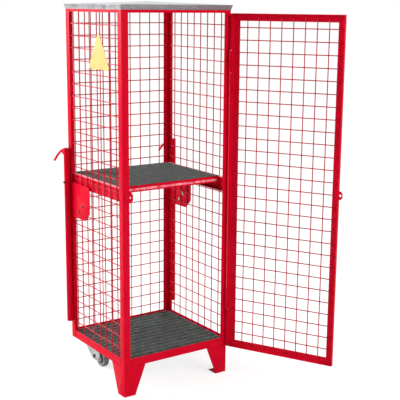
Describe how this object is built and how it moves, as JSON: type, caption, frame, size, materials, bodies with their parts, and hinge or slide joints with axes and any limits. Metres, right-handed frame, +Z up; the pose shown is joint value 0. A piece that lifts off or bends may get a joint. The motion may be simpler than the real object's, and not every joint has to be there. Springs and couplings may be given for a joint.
{
  "type": "gas cylinder storage box",
  "caption": "Mesh-sided steel storage cage for gas cylinders, with a galvanised roof, open-bar floor and shelf, a hinged mesh door, feet at the front and castors behind.",
  "frame": {"origin": "on the ground, at the middle of the sole of the front left foot", "axes": "+Z up, +X to the right and +Y to the back as seen by someone who faces the door side"},
  "size_m": [0.7666, 1.039, 1.5935],
  "materials": {
    "red_paint": "semi-gloss powder coat, signal red",
    "galvanised": "galvanised sheet, dull spangle",
    "grating_steel": "weathered galvanised bars",
    "wheel_tyre": "matt black rubber",
    "wheel_hub": "grey moulded plastic",
    "zinc_bolt": "zinc plated"
  },
  "bodies": {
    "cage": {"back_mesh": "red_paint", "floor_grating": "grating_steel", "front_base_rail": "red_paint", "front_left_foot": "red_paint", "front_left_post": "red_paint", "front_right_foot": "red_paint", "front_right_post": "red_paint", "front_top_rail": "red_paint", "left_base_rail": "red_paint", "left_castor_axle": "zinc_bolt", "left_castor_fork": "galvanised", "left_handle_grip": "red_paint", "left_handle_gusset": "red_paint", "left_handle_tube": "red_paint", "left_mesh": "red_paint", "left_shelf_runner": "red_paint", "left_side_plate": "red_paint", "left_top_rail": "red_paint", "lock_tab": "red_paint", "lower_hinge_post_barrel": "red_paint", "rear_base_rail": "red_paint", "rear_left_post": "red_paint", "rear_right_post": "red_paint", "rear_top_rail": "red_paint", "right_base_rail": "red_paint", "right_castor_axle": "zinc_bolt", "right_castor_fork": "galvanised", "right_handle_grip": "red_paint", "right_handle_gusset": "red_paint", "right_handle_tube": "red_paint", "right_mesh": "red_paint", "right_shelf_runner": "red_paint", "right_side_plate": "red_paint", "right_top_rail": "red_paint", "roof_tray": "galvanised", "shelf_front_member": "red_paint", "shelf_grating": "grating_steel", "shelf_left_member": "red_paint", "shelf_rear_member": "red_paint", "shelf_right_member": "red_paint", "upper_hinge_post_barrel": "red_paint"},
    "door": {"door_bottom_rail": "red_paint", "door_free_stile": "red_paint", "door_hinge_stile": "red_paint", "door_lock_lug": "red_paint", "door_mesh": "red_paint", "door_top_rail": "red_paint", "lower_hinge_door_barrel": "red_paint", "upper_hinge_door_barrel": "red_paint"},
    "left_wheel": {"left_castor_hub": "wheel_hub", "left_castor_tyre": "wheel_tyre"},
    "right_wheel": {"right_castor_hub": "wheel_hub", "right_castor_tyre": "wheel_tyre"}
  },
  "joints": [
    {"name": "door_hinge", "type": "hinge", "parent": "cage", "child": "door", "pos_m": [0.4775, -0.0375, 0.837], "axis": [0, 0, 1], "range_deg": [-117.1, 32.9]},
    {"name": "left_wheel_spin", "type": "hinge", "parent": "cage", "child": "left_wheel", "pos_m": [0.0645, 0.3245, 0.04], "axis": [1, 0, 0], "continuous": true},
    {"name": "right_wheel_spin", "type": "hinge", "parent": "cage", "child": "right_wheel", "pos_m": [0.3945, 0.3245, 0.04], "axis": [1, 0, 0], "continuous": true}
  ]
}
